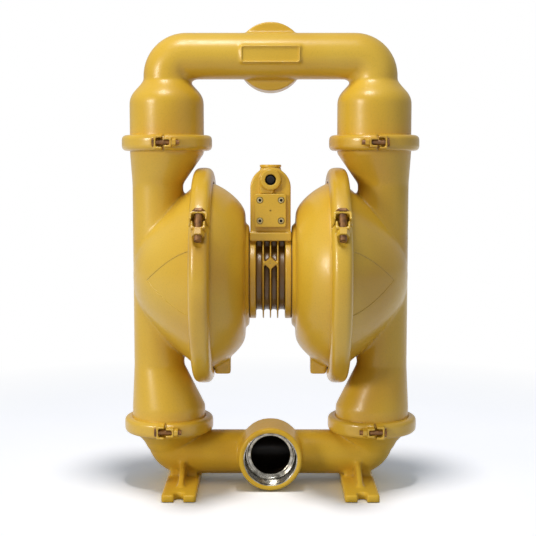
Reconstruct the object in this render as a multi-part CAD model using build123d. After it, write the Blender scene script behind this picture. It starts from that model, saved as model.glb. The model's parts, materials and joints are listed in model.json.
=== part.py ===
from build123d import *
import math
import os

# Air operated double diaphragm pump, clamped metal body, 3 in ports.
# Origin: middle of the foot plates' underside. +Z up, -Y the inlet side, X along the diaphragm shaft.
# All sizes in millimetres.

# ---- overall layout ----
column_x = 179.5            # valve axes, left and right of the middle
inlet_axis_z = 51.6         # inlet pipe axis above the floor
chamber_drop = 262.0        # shaft axis down to the lower joint
chamber_rise = 230.0        # shaft axis up to the upper joint
outlet_rise = 148.8         # upper joint to the outlet pipe axis
diaphragm_x = 115.8         # clamp plane of each diaphragm
stroke = 22.0               # shaft travel each way from the middle

# ---- castings ----
wall = 8.0
outlet_pipe_r = 39.6
outlet_bend_r = 34.4
outlet_corner = 14.0        # cast radius inside each bend
inlet_pipe_r = 38.7
inlet_bend_r = 26.0
housing_shoulder = 39.0     # height over which the housing closes in to the pipe
housing_straight = 66.4     # upper joint to the start of the shoulder
shoulder_bulge = 0.59       # how far out, and how far up, the shoulder turns over
shoulder_crease = 1.5       # step left where a shoulder meets the pipe
column_r = 44.0
column_lean = 16.5          # columns stand this much outside the valve axes
upper_collar = 17.6         # straight collar next to each joint
lower_collar = 31.0
upper_taper = 53.0          # length over which a neck closes in to the column
lower_taper = 73.5
skirt_drop = 35.0           # inlet joint's skirt down to the pipe

# ---- pipe threads ----
port_r = 44.45              # 3 in pipe thread
port_thread = 33.0
port_lead = 1.5             # chamfer at the mouth of a thread
port_bore_r = 33.5
inlet_boss_r = 56.0
inlet_boss_face_r = 54.5
inlet_boss_up = 5.0         # boss axis above the pipe axis
inlet_reach = 78.0
outlet_boss_r = 59.0
outlet_reach = 78.0
air_port_r = 9.0            # 1/2 in pipe thread
exhaust_port_r = 13.3       # 3/4 in pipe thread
port_depth = 22.0

# ---- badge place on the outlet pipe ----
pad_length = 102.0
pad_height = 30.0
pad_proud = 2.6
pad_rim = 2.2
pad_sink = 1.2

# ---- feet ----
foot_x = 153.0
foot_width = 58.0
foot_length = 280.0
foot_thick = 13.0
foot_slot_w = 15.0
foot_slot_y = 128.0
gusset_thick = 9.6
gusset_toe = 95.0
gusset_top = 45.0
gusset_lip = 3.0
foot_corner = 4.0
saddle_inset = 6.0

# ---- joints at the valve seats ----
joint_flange_deep = 6.0     # flange standing out of a neck or housing
joint_root = 9.0            # flange thickness at its root
joint_lip = 5.5             # flange thickness at its edge
seat_land_w = 6.0           # neck wall left outside a seat
seat_height = 12.0
seat_land = 3.0             # how far below the top of a seat the ball meets its bore
seal_r = 2.4
ball_r = 40.0
ball_lift = 18.0
seat_bore_share = 0.8       # bore of a seat as a share of the ball
stop_width = 12.0
stop_height = 14.0

# ---- small clamp bands ----
small_band_r = 78.0
small_band_half = 13.7
small_band_metal = 8.0      # band outside the joint flanges

# ---- large clamp bands ----
large_band_r = 187.6
large_band_half = 17.5
large_band_metal = 13.1     # band outside the chamber flanges
large_closure_deg = 32.0

# ---- liquid chambers and air chambers ----
rim_deep = 10.5             # flange standing out of a chamber's rim
rim_root = 10.0
rim_lip = 7.0
bead_land = 0.5             # diaphragm edge inside the flange's root
rim_grip = 14.0             # width of diaphragm held between the flanges
liquid_rim_in = 8.2
liquid_rim_run = 17.2
dome_mid_x = 195.7
dome_mid_r = 98.6
dome_nose_x = 239.5
panel_reach = 93.2          # shallow panel on the dome's front and back, from the clamp plane
panel_half = 54.0           # its half height at the clamp plane
panel_sink = 1.0
air_rim_in = 4.0
air_rim_run = 17.8
air_mid_x = 60.7
air_mid_r = 135.0
air_knee_x = 45.0
air_knee_r = 112.0
hub_over = 13.0             # air chamber's hub outside the centre block
hub_thick = 7.0
hub_lip = 4.0
lug_width = 28.0
lug_depth = 34.0
lug_short = 14.6            # lug end inside the large band's outer edge

# ---- centre block ----
block_half = 35.6
block_r = 75.5
groove_depth = 15.5
fin_thick = 2.5
fin_pitch = 12.5
band_width = 10.6
ledge_z = 63.4              # underside of the ledge above the shaft axis
ledge_thick = 14.5
ledge_front = 53.0
diamond_w = 24.0
diamond_h = 20.5
diamond_up = 26.5
chest_half = 34.5
chest_height = 110.5
chest_depth = 46.0          # front face to the middle
chest_round = 3.0
air_boss_r = 17.6
air_boss_drop = 21.0        # below the top of the chest
air_boss_proud = 10.0
neck_proud = 5.0
exhaust_proud = 6.0
exhaust_up = 30.0
exhaust_wall = 6.0
pilot_r = 1.5
pilot_depth = 3.0
diamond_root = 8.0          # how far the diamond boss runs in behind the fins

# ---- air valve ----
plate_width = 52.7
plate_height = 56.6
plate_thick = 8.0
plate_corner = 4.0
plate_up = 37.5             # plate middle above the ledge
gasket_thick = 1.0
screw_span_x = 36.0
screw_span_z = 35.0
screw_r = 3.0
screw_head_r = 5.0
screw_head_h = 6.0
screw_length = 22.0
screw_sink_gap = 0.8        # round a screw head in its counterbore
cap_r = 18.6
cap_proud = 4.5
cap_thread_r = 14.0
cap_thread = 12.0
cap_neck = 3.0
cap_socket_r = 7.0
sleeve_r = 15.5
spool_r = 12.0
spool_length = 64.0
spool_travel = 16.0
spool_waist_r = 8.0
muffler_r = 24.0
muffler_length = 92.0
muffler_nipple = 14.0
muffler_collar = 4.0
muffler_slots = 12
muffler_slot_w = 3.0
muffler_slot_deep = 2.5

# ---- shaft assembly ----
shaft_r = 12.7
stud_r = 9.5
stud_length = 14.0
bush_r = 17.0
bush_length = 26.0
shaft_seal_w = 4.0
shaft_seal_thick = 3.0
shaft_seal_in = 2.0
piston_r = 90.0
inner_piston_thick = 12.0
outer_piston_thick = 16.0
piston_edge = 5.0
piston_seat_in = 4.0        # rounded edge between a piston and its diaphragm
piston_hub_r = 30.0
diaphragm_thick = 5.0
fold_height = 11.0
chamber_screws = 6
chamber_screw_pcr = 47.0
chamber_screw_r = 5.0
chamber_screw_length = 26.0
chamber_screw_hole = 19.0
chamber_head_r = 8.0
chamber_head_h = 9.0
centre_gasket_in = 1.0      # gasket edge inside the centre block's

# ---- clearances ----
fit = 0.1                   # parts that seat in one another
run = 0.05                  # running fits, on the radius
loose = 0.3                 # parts that pass or rest near one another

# ---- sizes that follow from the bands and the layout ----
joint_flange_r = small_band_r - small_band_metal
housing_r = joint_flange_r - joint_flange_deep      # outlet ball housing and chamber necks
seat_r = housing_r - seat_land_w
seat_bore_r = seat_bore_share * ball_r
rim_flange_r = large_band_r - large_band_metal
rim_root_r = rim_flange_r - rim_deep
bead_r = rim_root_r - bead_land
grip_r = bead_r - rim_grip
liquid_rim_r = rim_root_r - liquid_rim_in
air_rim_r = rim_root_r - air_rim_in
lug_drop = large_band_r - lug_short
hub_r = block_r + hub_over
inlet_rise = inlet_pipe_r + small_band_half + 2 * loose     # the lower clamps just clear the inlet pipe
lower_joint_z = inlet_axis_z + inlet_rise
shaft_z = lower_joint_z + chamber_drop
upper_joint_z = shaft_z + chamber_rise
outlet_axis_z = upper_joint_z + outlet_rise
ledge_top_z = shaft_z + ledge_z + ledge_thick
chest_top_z = ledge_top_z + chest_height
air_port_z = chest_top_z - air_boss_drop
plate_z = ledge_top_z + plate_up
throat_r = housing_r - wall
column_bore_r = column_r - wall
seat_face_x = diaphragm_x + diaphragm_thick / 2
bead_gap = loose            # half the gap left between two rim flanges
ball_seat_z = seat_height / 2 - seat_land + math.sqrt(ball_r ** 2 - seat_bore_r ** 2)   # above a joint

os.makedirs("parts", exist_ok=True)


def save(name, *shapes):
    """Write one node; several shapes stay separate solids."""
    shape = shapes[0] if len(shapes) == 1 else Compound(children=list(shapes))
    export_step(shape, f"parts/{name}.step")


def cylinder(radius, start, end):
    """Solid cylinder between two points."""
    a, b = Vector(*start), Vector(*end)
    return extrude(Plane(a, z_dir=b - a) * Circle(radius), (b - a).length)


def cone(r0, start, r1, end):
    a, b = Vector(*start), Vector(*end)
    at = Plane(a, z_dir=b - a)
    return loft([at * Circle(r0), at.offset((b - a).length) * Circle(r1)])


def block(x0, x1, y0, y1, z0, z1):
    return Pos((x0 + x1) / 2, (y0 + y1) / 2, (z0 + z1) / 2) * Box(x1 - x0, y1 - y0, z1 - z0)


def turned_z(points, x=0.0, z=0.0):
    """Body of revolution about a vertical axis from (radius, height) points."""
    face = make_face(Polyline(*[(r, h) for r, h in points], close=True))
    return Pos(x, 0, z) * revolve(Plane.XZ * face, Axis.Z)


def turned_x(face):
    """Body of revolution about the shaft axis from a face drawn as (distance along X, radius)."""
    return Pos(0, 0, shaft_z) * revolve(Plane.XZ * face, Axis.X)


def mirror_x(shape):
    return mirror(shape, about=Plane.YZ)


# ---- manifolds ----

def elbow(x, z, radius, bend, leg):
    """Quarter bend from a pipe along X to a leg going up (leg = 1) or down (leg = -1), on the +X side."""
    centre_x = x - bend
    centre_z = z + leg * bend
    section = Pos(centre_x + bend, 0) * Circle(radius)
    half = section & (Pos(centre_x + radius + bend, 0) * Rectangle(2 * (radius + bend), 4 * radius))
    start = Plane((0, 0, centre_z), x_dir=(1, 0, 0), z_dir=(0, 0, 1)) * half
    turn = Axis((centre_x, 0, centre_z), (0, leg, 0))
    return revolve(start, turn, 90)


def pipe_run(z, radius, bend, leg, leg_end_z):
    """Straight pipe along X with a bend and a leg at each end."""
    bend_x = column_x - bend
    run_solid = cylinder(radius, (-bend_x, 0, z), (bend_x, 0, z))
    side = elbow(column_x, z, radius, bend, leg)
    side += cylinder(radius, (column_x, 0, z + leg * bend), (column_x, 0, leg_end_z))
    return run_solid + side + mirror_x(side)


def joint_flange(z, up):
    """Tapered clamp flange with its flat face at z; up is the side the flange lies on."""
    points = [(0, 0), (joint_flange_r, 0), (joint_flange_r, up * joint_lip),
              (housing_r, up * joint_root), (0, up * joint_root)]
    return turned_z(points, column_x, z)


def seat_pocket(z, up):
    """Counterbore for half a valve seat."""
    depth = up * (seat_height / 2 + loose / 2)
    return cylinder(seat_r + fit, (column_x, 0, z - up), (column_x, 0, z + depth))


def ball_stop(z, x, span):
    """Cast bar across a throat that stops the rising ball."""
    bar = block(x - stop_width / 2, x + stop_width / 2, -span, span, z, z + stop_height)
    return fillet(bar.edges().filter_by(Axis.Y).group_by(Axis.Z)[0], stop_width / 3)


def barrel(wide_r, straight, tight_r, top, foot_z):
    """Ball housing or its hollow: a straight barrel that closes in to a pipe through a shoulder."""
    knee = (tight_r + shoulder_bulge * (wide_r - tight_r), straight + shoulder_bulge * (top - straight))
    with BuildSketch(Plane.XZ) as section:
        with BuildLine():
            Polyline((0, top), (0, foot_z), (wide_r, foot_z), (wide_r, straight))
            Spline((wide_r, straight), knee, (tight_r, top), tangents=((0, 1), (-0.6, 1)))
            Line((tight_r, top), (0, top))
        make_face()
    return Pos(column_x, 0, upper_joint_z) * revolve(section.sketch, Axis.Z)


def outlet_manifold():
    shoulder_z = housing_straight + housing_shoulder
    inner_r = outlet_pipe_r - wall
    housing = barrel(housing_r, housing_straight, outlet_pipe_r + shoulder_crease, shoulder_z, 0)
    housing += joint_flange(upper_joint_z, 1)
    hollow = barrel(throat_r, housing_straight - wall, inner_r, shoulder_z, -1) + seat_pocket(upper_joint_z, 1)
    stop_z = upper_joint_z + ball_seat_z + ball_r + ball_lift + loose
    bar = ball_stop(stop_z, column_x, outlet_pipe_r)

    body = pipe_run(outlet_axis_z, outlet_pipe_r, outlet_bend_r, -1, upper_joint_z + shoulder_z - 1)
    body += housing + mirror_x(housing)
    body += cylinder(outlet_boss_r, (0, 0, outlet_axis_z), (0, outlet_reach, outlet_axis_z))
    body += inner_corner() + mirror_x(inner_corner())
    pad_y = outlet_pipe_r + pad_proud
    body += block(-pad_length / 2, pad_length / 2, -pad_y, -outlet_pipe_r / 2,
                  outlet_axis_z - pad_height / 2, outlet_axis_z + pad_height / 2)
    body -= block(pad_rim - pad_length / 2, pad_length / 2 - pad_rim, -pad_y - 1, pad_sink - pad_y,
                  outlet_axis_z - pad_height / 2 + pad_rim, outlet_axis_z + pad_height / 2 - pad_rim)

    bore = pipe_run(outlet_axis_z, inner_r, outlet_bend_r, -1, upper_joint_z + shoulder_z - 1)
    bore += hollow + mirror_x(hollow)
    bore += port(outlet_axis_z, outlet_reach)
    body -= bore
    return body + bar + mirror_x(bar)


def inner_corner():
    """Rounded throat inside an outlet bend: a tighter pipe that shares the bend's inner wall."""
    filler_r = outlet_pipe_r * 0.75
    shift = outlet_pipe_r - filler_r
    return elbow(column_x - shift, outlet_axis_z - shift, filler_r, outlet_corner + filler_r, -1)


def port(z, reach):
    """Threaded mouth at y = reach that runs into the pipe bore at y = 0."""
    side = math.copysign(1, reach)
    depth = reach - side * port_thread
    thread = cylinder(port_r, (0, reach, z), (0, depth, z))
    lead = cone(port_r + port_lead, (0, reach, z), port_r, (0, reach - side * port_lead, z))
    return thread + lead + cylinder(port_bore_r, (0, depth + side, z), (0, 0, z))


def foot():
    """Foot plate with an open slot at each end and a gusset up to the pipe, on the +X side."""
    plan = Rectangle(foot_width, foot_length)
    plan = fillet(plan.vertices(), foot_corner)
    for end in (-1, 1):
        plan -= Pos(0, end * foot_slot_y) * Circle(foot_slot_w / 2)
        plan -= Pos(0, end * (foot_slot_y + foot_length / 4)) * Rectangle(foot_slot_w, foot_length / 2)
    plate = Pos(foot_x, 0, 0) * extrude(plan, foot_thick)
    low, lip, top = foot_thick - 1, foot_thick + gusset_lip, inlet_pipe_r - gusset_lip
    side = Polyline((-gusset_toe, low), (-gusset_toe, lip), (-top, gusset_top), (top, gusset_top),
                    (gusset_toe, lip), (gusset_toe, low), close=True)
    web = extrude(Plane((foot_x - gusset_thick / 2, 0, 0), x_dir=(0, 1, 0), z_dir=(1, 0, 0))
                  * make_face(side), gusset_thick)
    half_x, half_y = foot_width / 2 - saddle_inset, inlet_pipe_r * 0.75
    saddle = block(foot_x - half_x, foot_x + half_x, -half_y, half_y, low, inlet_axis_z - inlet_pipe_r / 3)
    return plate + web + saddle


def inlet_manifold():
    inner_r = inlet_pipe_r - wall
    collar_z = lower_joint_z - joint_root
    bend_in = skirt_drop / 4
    skirt = turned_z([(0, 0), (housing_r, 0), (housing_r - bend_in / 4, -bend_in / 2),
                      (inlet_pipe_r + bend_in * 0.7, -skirt_drop + bend_in * 1.4),
                      (inlet_pipe_r, -skirt_drop), (0, -skirt_drop)], column_x, collar_z)
    side = joint_flange(lower_joint_z, -1) + skirt + foot()
    body = pipe_run(inlet_axis_z, inlet_pipe_r, inlet_bend_r, 1, collar_z)
    body += side + mirror_x(side)
    boss_z = inlet_axis_z + inlet_boss_up
    body += cone(inlet_boss_r, (0, 0, boss_z), inlet_boss_face_r, (0, -inlet_reach, boss_z))
    low = inlet_bend_r - inlet_rise
    funnel = turned_z([(0, 1), (throat_r, 1), (throat_r, -seat_height / 2), (inner_r, low), (0, low)],
                      column_x, lower_joint_z)
    mouth = funnel + seat_pocket(lower_joint_z, -1)
    bore = pipe_run(inlet_axis_z, inner_r, inlet_bend_r, 1, collar_z)
    bore += mouth + mirror_x(mouth)
    bore += port(boss_z, -inlet_reach)
    return body - bore


# ---- liquid and air chambers ----

def rim_face(side):
    """Section of a rim flange as (x, radius); side is +1 on the liquid side and -1 on the air side."""
    face_x = diaphragm_x + side * bead_gap
    seat_x = diaphragm_x + side * diaphragm_thick / 2
    return Polyline((seat_x, grip_r), (seat_x, bead_r + fit), (face_x, bead_r + fit), (face_x, rim_flange_r),
                    (diaphragm_x + side * rim_lip, rim_flange_r), (diaphragm_x + side * rim_root, rim_root_r),
                    (diaphragm_x + side * (rim_root + 2), grip_r), close=True)


def dome_body(sink):
    """Outside of the domed liquid chamber, sunk by a little for its panels, on the +X side."""
    foot_x0 = diaphragm_x + rim_root
    rim_x = diaphragm_x + liquid_rim_run
    with BuildSketch() as section:
        with BuildLine():
            Polyline((dome_nose_x - sink, 0), (seat_face_x, 0), (seat_face_x, liquid_rim_r - sink),
                     (foot_x0, liquid_rim_r + liquid_rim_in / 2 - sink), (rim_x, liquid_rim_r - sink))
            Spline((rim_x, liquid_rim_r - sink), (dome_mid_x, dome_mid_r - sink), (dome_nose_x - sink, 0),
                   tangents=((0.75, -0.66), (0, -1)))
        make_face()
    return turned_x(section.sketch)


def dome_hollow():
    with BuildSketch() as section:
        with BuildLine():
            Polyline((dome_nose_x - wall, 0), (seat_face_x - 1, 0), (seat_face_x - 1, grip_r),
                     (diaphragm_x + rim_root, grip_r))
            Spline((diaphragm_x + rim_root, grip_r), (dome_mid_x - wall, dome_mid_r - wall + 1),
                   (dome_nose_x - wall, 0), tangents=((0.75, -0.66), (0, -1)))
        make_face()
    return turned_x(section.sketch)


def dome_panels():
    """Metal taken off the dome's front and back to leave two shallow pointed panels."""
    foot_x0, tip_x = diaphragm_x + rim_root, diaphragm_x + panel_reach
    with BuildSketch(Plane.XZ) as outline:
        with BuildLine():
            Polyline((tip_x, 0), (0, 0), (0, panel_half), (foot_x0 - 1, panel_half))
            Spline((foot_x0 - 1, panel_half), ((foot_x0 + tip_x) / 2, panel_half * 0.66), (tip_x, 0))
        make_face()
        mirror(about=Plane.XZ)
    prism = extrude(Pos(0, 0, shaft_z) * outline.sketch, rim_root_r, both=True)
    return (dome_body(0) - dome_body(panel_sink)) & prism


def column_body(radius, neck, over):
    """Vertical column with a neck widening to the joint at each end; over runs past the joint faces."""
    joints = ((upper_joint_z, -1, upper_collar, upper_taper), (lower_joint_z, 1, lower_collar, lower_taper))
    body, ends = None, []
    for z, inward, collar, taper in joints:
        wide = (column_x, 0, z + inward * collar)
        tight = (column_x + column_lean, 0, z + inward * (collar + taper))
        rings = sorted((wide, tight), key=lambda point: point[2])
        part = loft([Plane(at) * Circle(neck if at == wide else radius) for at in rings])
        part += cylinder(neck, wide, (column_x, 0, z - inward * over))
        body = part if body is None else body + part
        ends.append(tight)
    return body + cylinder(radius, ends[1], ends[0])


def liquid_chamber():
    """Dome, column, necks and joint flanges of the +X liquid chamber."""
    dome = dome_body(0) - dome_panels() + turned_x(make_face(rim_face(1)))
    body = column_body(column_r, housing_r, 0)
    body += joint_flange(upper_joint_z, -1) + joint_flange(lower_joint_z, 1)
    body += dome
    stop_z = lower_joint_z + ball_seat_z + ball_r + ball_lift + loose
    bar = ball_stop(stop_z, column_x + column_lean / 2, column_r - 1)
    body -= column_body(column_bore_r, throat_r, 1) + dome_hollow()
    body -= seat_pocket(upper_joint_z, -1) + seat_pocket(lower_joint_z, 1)
    keep_out = cylinder(bead_r, (0, 0, shaft_z), (seat_face_x, 0, shaft_z))
    return body + bar - keep_out


def air_profile(inset):
    """Outline of the air chamber's bowl as (x, radius), inset by a wall for the inside."""
    back_x = diaphragm_x - air_rim_run
    with BuildLine() as line:
        Spline((back_x + inset / 2, air_rim_r - inset), (air_mid_x + inset * 0.75, air_mid_r - inset * 0.6),
               (air_knee_x + inset, air_knee_r - inset * 0.3),
               (block_half + hub_thick + inset, hub_r - hub_lip), tangents=((-1, -0.45), (-0.15, -1)))
    return line


def air_chamber():
    """Bowl, hub, rim flange and drain lug of the +X air chamber."""
    face_x = diaphragm_x - diaphragm_thick / 2
    hub_x = block_half + loose / 2 + gasket_thick
    back_x = diaphragm_x - air_rim_run
    with BuildSketch() as outer:
        with BuildLine():
            add(air_profile(0))
            Polyline((block_half + hub_thick, hub_r - hub_lip), (block_half + hub_thick, hub_r), (hub_x, hub_r),
                     (hub_x, 0), (face_x, 0), (face_x, air_rim_r), (back_x, air_rim_r))
        make_face()
    with BuildSketch() as inner:
        with BuildLine():
            add(air_profile(wall))
            Polyline((block_half + hub_thick + wall, hub_r - hub_lip), (block_half + hub_thick + wall, 0),
                     (face_x + 1, 0), (face_x + 1, grip_r), (back_x + wall / 2, grip_r),
                     (back_x + wall / 2, air_rim_r - wall))
        make_face()
    lug_end = diaphragm_x - large_band_half - loose
    lug = block(lug_end - lug_width, lug_end, -lug_depth / 2, lug_depth / 2,
                shaft_z - lug_drop, shaft_z - air_mid_r + 10)
    body = turned_x(outer.sketch) + turned_x(make_face(rim_face(-1))) + lug - turned_x(inner.sketch)
    for x, z in screw_places():
        body -= cylinder(chamber_screw_r + loose, (0, x, z), (face_x, x, z))
    return body - cylinder(shaft_r + shaft_seal_thick, (0, 0, shaft_z), (face_x, 0, shaft_z))


def screw_places():
    """(y, z) of the screws that hold an air chamber to the centre block."""
    step = 2 * math.pi / chamber_screws
    return [(chamber_screw_pcr * math.sin(i * step), shaft_z + chamber_screw_pcr * math.cos(i * step))
            for i in range(chamber_screws)]


# ---- centre block and air valve ----

def centre_block():
    """Finned drum with the valve chest standing on it."""
    core = block_r - groove_depth
    body = cylinder(core, (-block_half, 0, shaft_z), (block_half, 0, shaft_z))
    for side in (-1, 1):
        inner = side * (block_half - band_width)
        body += cylinder(block_r, (inner, 0, shaft_z), (side * block_half, 0, shaft_z))
    for i in (-1, 0, 1):
        x = i * fin_pitch
        body += cylinder(block_r, (x - fin_thick / 2, 0, shaft_z), (x + fin_thick / 2, 0, shaft_z))
    ledge_z0 = shaft_z + ledge_z
    body += block(-block_half, block_half, -ledge_front, ledge_front, ledge_z0, ledge_top_z)
    body += block(-block_half, block_half, -core / 2, core / 2, shaft_z, ledge_z0 + 1)
    body += chest() + diamond()
    body -= cylinder(bush_r, (-block_half - 1, 0, shaft_z), (block_half + 1, 0, shaft_z))
    body += cylinder(bush_r + 1, (bush_length - block_half, 0, shaft_z), (block_half - bush_length, 0, shaft_z))
    body -= cylinder(shaft_r + 1, (-block_half, 0, shaft_z), (block_half, 0, shaft_z))
    sleeve_z = valve_floor_z()
    body -= cylinder(sleeve_r, (0, 0, sleeve_z), (0, 0, chest_top_z + 5))
    body -= cylinder(cap_thread_r + cap_neck + fit, (0, 0, chest_top_z - cap_thread), (0, 0, chest_top_z + 5))
    body -= cylinder(air_port_r, (0, air_port_y(), air_port_z), (0, air_port_y() + port_depth, air_port_z))
    exhaust = chest_depth + exhaust_proud
    body -= cylinder(exhaust_port_r, (0, exhaust, exhaust_z()), (0, exhaust - port_depth, exhaust_z()))
    screw_end = screw_length - chest_depth - plate_thick
    for x, z in plate_screw_places():
        body -= cylinder(screw_r + fit, (x, -chest_depth - 1, z), (x, screw_end, z))
    for y, z in screw_places():
        for side in (-1, 1):
            inner, outer = side * (block_half - chamber_screw_hole), side * (block_half + 1)
            body -= cylinder(chamber_screw_r + fit, (inner, y, z), (outer, y, z))
    return body


def valve_floor_z():
    return chest_top_z - cap_thread - spool_length - spool_travel - 2


def air_port_y():
    return -chest_depth - air_boss_proud


def exhaust_z():
    return ledge_top_z + exhaust_up


def chest():
    """Round-topped valve chest with the air inlet boss, its neck and the exhaust boss."""
    round_z = chest_top_z - chest_half
    front = Pos(0, (ledge_top_z + round_z) / 2) * Rectangle(2 * chest_half, round_z - ledge_top_z)
    front += Pos(0, round_z) * Circle(chest_half)
    shell = extrude(Plane((0, chest_depth, 0), x_dir=(1, 0, 0), z_dir=(0, -1, 0)) * front, 2 * chest_depth)
    shell = fillet(shell.edges().filter_by(GeomType.CIRCLE), chest_round)
    shell += cylinder(cap_r, (0, 0, round_z), (0, 0, chest_top_z))
    face_y = air_port_y()
    shell += cylinder(air_boss_r, (0, -chest_depth + 1, air_port_z), (0, face_y, air_port_z))
    neck = block(-air_boss_r, air_boss_r * 0.3, -chest_depth - neck_proud, -chest_depth + 1,
                 plate_z + plate_height / 2 - 4, air_port_z)
    shell += neck
    shell += cylinder(exhaust_port_r + exhaust_wall, (0, chest_depth - 1, exhaust_z()),
                      (0, chest_depth + exhaust_proud, exhaust_z()))
    return shell - plate_clearance()


def plate_clearance():
    """Flat landing for the cover plate, cut through the neck above it."""
    return block(-plate_width / 2 - loose, plate_width / 2 + loose, -chest_depth - 20, -chest_depth,
                 plate_z - plate_height / 2 - loose, plate_z + plate_height / 2 + loose)


def diamond():
    """Four-sided boss cast across the fins, with a pilot hole."""
    z = shaft_z + diamond_up
    half_w, half_h = diamond_w / 2, diamond_h / 2
    outline = Polyline((-half_w, 0), (0, half_h), (half_w, 0), (0, -half_h), close=True)
    at = Plane((0, -block_r + groove_depth + diamond_root, z), x_dir=(1, 0, 0), z_dir=(0, -1, 0))
    boss = extrude(at * make_face(outline), groove_depth + diamond_root - pilot_depth)
    return boss - cylinder(pilot_r, (0, -block_r - 2, z), (0, -block_r + diamond_root, z))


def plate_screw_places():
    return [(sx * screw_span_x / 2, plate_z + sz * screw_span_z / 2) for sx in (-1, 1) for sz in (-1, 1)]


def plate_blank(thick, back_y):
    """Rounded plate standing in front of the chest, its back at back_y."""
    outline = Rectangle(plate_width, plate_height)
    outline = fillet(outline.vertices(), plate_corner)
    at = Plane((0, back_y, plate_z), x_dir=(1, 0, 0), z_dir=(0, -1, 0))
    return extrude(at * outline, thick)


def valve_cover_plate():
    back_y = -chest_depth - gasket_thick
    plate = plate_blank(plate_thick, back_y)
    plate = chamfer(plate.faces().sort_by(Axis.Y)[0].edges(), 0.8)
    front_y = back_y - plate_thick
    for x, z in plate_screw_places():
        plate -= cylinder(screw_r + loose, (x, front_y - 1, z), (x, back_y + 1, z))
        plate -= cylinder(screw_head_r + screw_sink_gap, (x, front_y - 1, z), (x, front_y + screw_head_h, z))
    return plate - cylinder(pilot_r, (0, front_y - 1, plate_z), (0, front_y + pilot_depth, plate_z))


def valve_cover_gasket():
    gasket = plate_blank(gasket_thick, -chest_depth)
    for x, z in plate_screw_places():
        gasket -= cylinder(screw_r + loose, (x, -chest_depth - 2, z), (x, -chest_depth + 1, z))
    return gasket


def socket_screw(radius, head_r, head_h, length):
    """Socket head screw along +Z with the underside of its head at the origin, shank going down."""
    screw = Pos(0, 0, head_h / 2) * Cylinder(head_r, head_h) + Pos(0, 0, -length / 2) * Cylinder(radius, length)
    screw = chamfer(screw.edges().group_by(Axis.Z)[-1], head_h / 10)
    socket = extrude(Plane((0, 0, head_h)) * RegularPolygon(head_r * 0.56, 6), -head_h * 0.6)
    return screw - socket


def valve_cover_screws():
    seat_y = -chest_depth - gasket_thick - plate_thick + screw_head_h
    screw = socket_screw(screw_r, screw_head_r, screw_head_h, screw_length - plate_thick)
    return [Plane((x, seat_y, z), z_dir=(0, -1, 0)) * screw for x, z in plate_screw_places()]


def valve_cap():
    """Screwed end cap over the spool bore, with a hexagon socket."""
    cap = cylinder(cap_r, (0, 0, chest_top_z), (0, 0, chest_top_z + cap_proud))
    cap = chamfer(cap.edges().group_by(Axis.Z)[-1], 1)
    cap += cylinder(cap_thread_r + cap_neck, (0, 0, chest_top_z - cap_thread + 1.5), (0, 0, chest_top_z))
    socket = Plane((0, 0, chest_top_z + cap_proud)) * RegularPolygon(cap_socket_r, 6)
    return cap - extrude(socket, -cap_thread / 2)


def valve_sleeve():
    top = chest_top_z - cap_thread
    sleeve = cylinder(sleeve_r, (0, 0, valve_floor_z()), (0, 0, top))
    return sleeve - cylinder(spool_r + run, (0, 0, valve_floor_z() - 1), (0, 0, top + 1))


def valve_spool():
    """Three-land spool at the lower end of its travel."""
    low = valve_floor_z() + loose
    land = spool_length / 5
    spool = cylinder(spool_waist_r, (0, 0, low), (0, 0, low + spool_length))
    for i in (0, 2, 4):
        spool += cylinder(spool_r, (0, 0, low + i * land), (0, 0, low + (i + 1) * land))
    return spool


def exhaust_muffler():
    """Screwed silencer with a slotted round body."""
    face = chest_depth + exhaust_proud
    z = exhaust_z()
    can_y = face + muffler_collar
    body = cylinder(exhaust_port_r, (0, face - muffler_nipple, z), (0, can_y, z))
    can = cylinder(muffler_r, (0, can_y, z), (0, can_y + muffler_length, z))
    can = fillet(can.edges().filter_by(GeomType.CIRCLE), muffler_collar)
    for i in range(muffler_slots):
        slot = Pos(0, can_y + muffler_length / 2, z) * Rot(0, i * 360 / muffler_slots, 0) * Pos(0, 0, muffler_r)
        can -= slot * Box(muffler_slot_w, muffler_length * 0.7, 2 * muffler_slot_deep)
    wrench_r = exhaust_port_r + muffler_collar + 1
    hexagon = Plane((0, face + 0.5, z), z_dir=(0, 1, 0)) * RegularPolygon(wrench_r, 6)
    return body + can + extrude(hexagon, muffler_collar + 1)


# ---- shaft assembly, made on the +X side where it is in pairs ----

def shaft():
    shoulder = seat_face_x - diaphragm_thick - inner_piston_thick
    end = seat_face_x + stud_length
    rod = cylinder(shaft_r, (-shoulder, 0, shaft_z), (shoulder, 0, shaft_z))
    rod += cylinder(stud_r, (-end, 0, shaft_z), (end, 0, shaft_z))
    return chamfer(rod.edges().group_by(Axis.X)[0] + rod.edges().group_by(Axis.X)[-1], 1.5)


def inner_piston():
    face = seat_face_x - diaphragm_thick
    with BuildSketch() as section:
        with BuildLine():
            seat = (face, piston_r - piston_seat_in)
            edge = (face - piston_edge, piston_r)
            Polyline(seat, (face, stud_r), (face - inner_piston_thick, stud_r),
                     (face - inner_piston_thick, piston_hub_r),
                     (face - piston_edge, piston_r - 2 * piston_seat_in), edge)
            Spline(edge, seat, tangents=((1, 0.1), (0.5, -1)))
        make_face()
    return turned_x(section.sketch)


def outer_piston():
    face = seat_face_x
    with BuildSketch() as section:
        with BuildLine():
            seat = (face, piston_r - piston_seat_in)
            edge = (face + piston_edge, piston_r)
            nose = (face + outer_piston_thick, 0)
            Polyline(nose, (face + stud_length + fit, 0), (face + stud_length + fit, stud_r), (face, stud_r), seat)
            Spline(seat, edge, tangents=((0.5, 1), (1, -0.1)))
            Spline(edge, nose, tangents=((0.6, -1), (0, -1)))
        make_face()
    return turned_x(section.sketch)


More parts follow.
